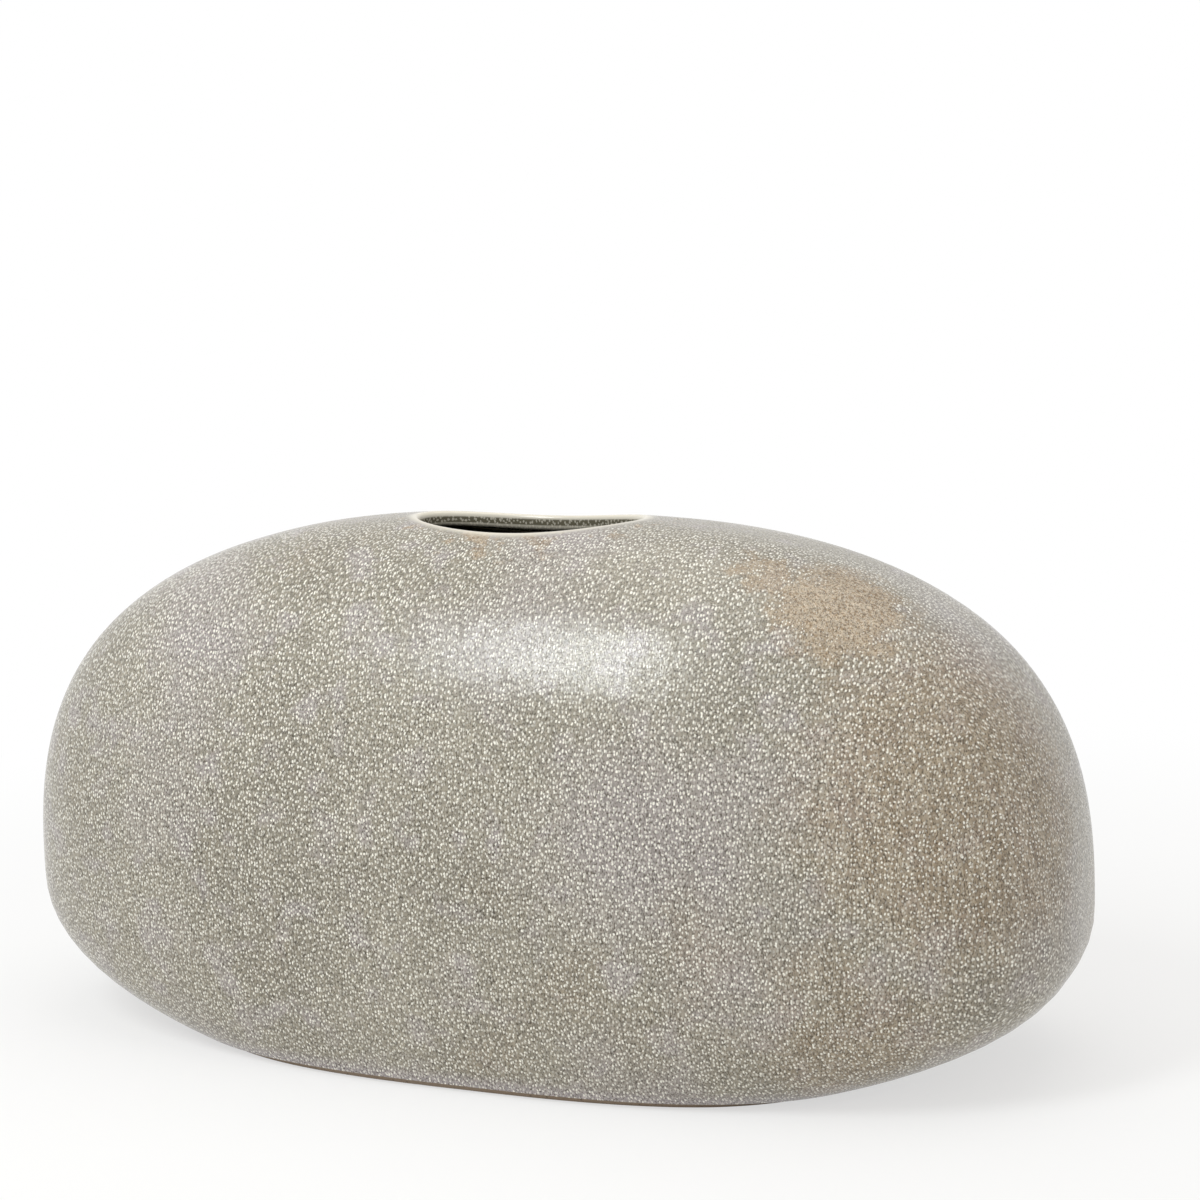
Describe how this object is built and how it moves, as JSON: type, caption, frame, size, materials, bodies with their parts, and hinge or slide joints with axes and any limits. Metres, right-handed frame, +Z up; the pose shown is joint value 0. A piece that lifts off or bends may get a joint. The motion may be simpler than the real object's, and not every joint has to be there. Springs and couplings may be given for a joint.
{
  "type": "pillow vase",
  "caption": "Long, low cushion-shaped stoneware vase with a stippled grey-beige glaze, an oval mouth cut through its crown and a flat bare foot.",
  "frame": {"origin": "centre of the foot, level with the table that the vase stands on", "axes": "+X along the vase, +Y through its depth from front to back, +Z up"},
  "size_m": [0.378, 0.16, 0.1792],
  "materials": {
    "stoneware": "bare fired clay, matt",
    "lip_glaze": "thin cream glaze, satin",
    "stippled_glaze": "stippled reactive glaze, satin gloss",
    "lining_glaze": "olive-grey glaze, satin gloss"
  },
  "bodies": {
    "root": {"front_wall": "stoneware", "back_wall": "stoneware", "base_slab": "stoneware", "mouth_rim": "lip_glaze", "outer_glaze": "stippled_glaze", "inner_glaze": "lining_glaze", "foot_glaze": "lining_glaze"}
  },
  "joints": []
}
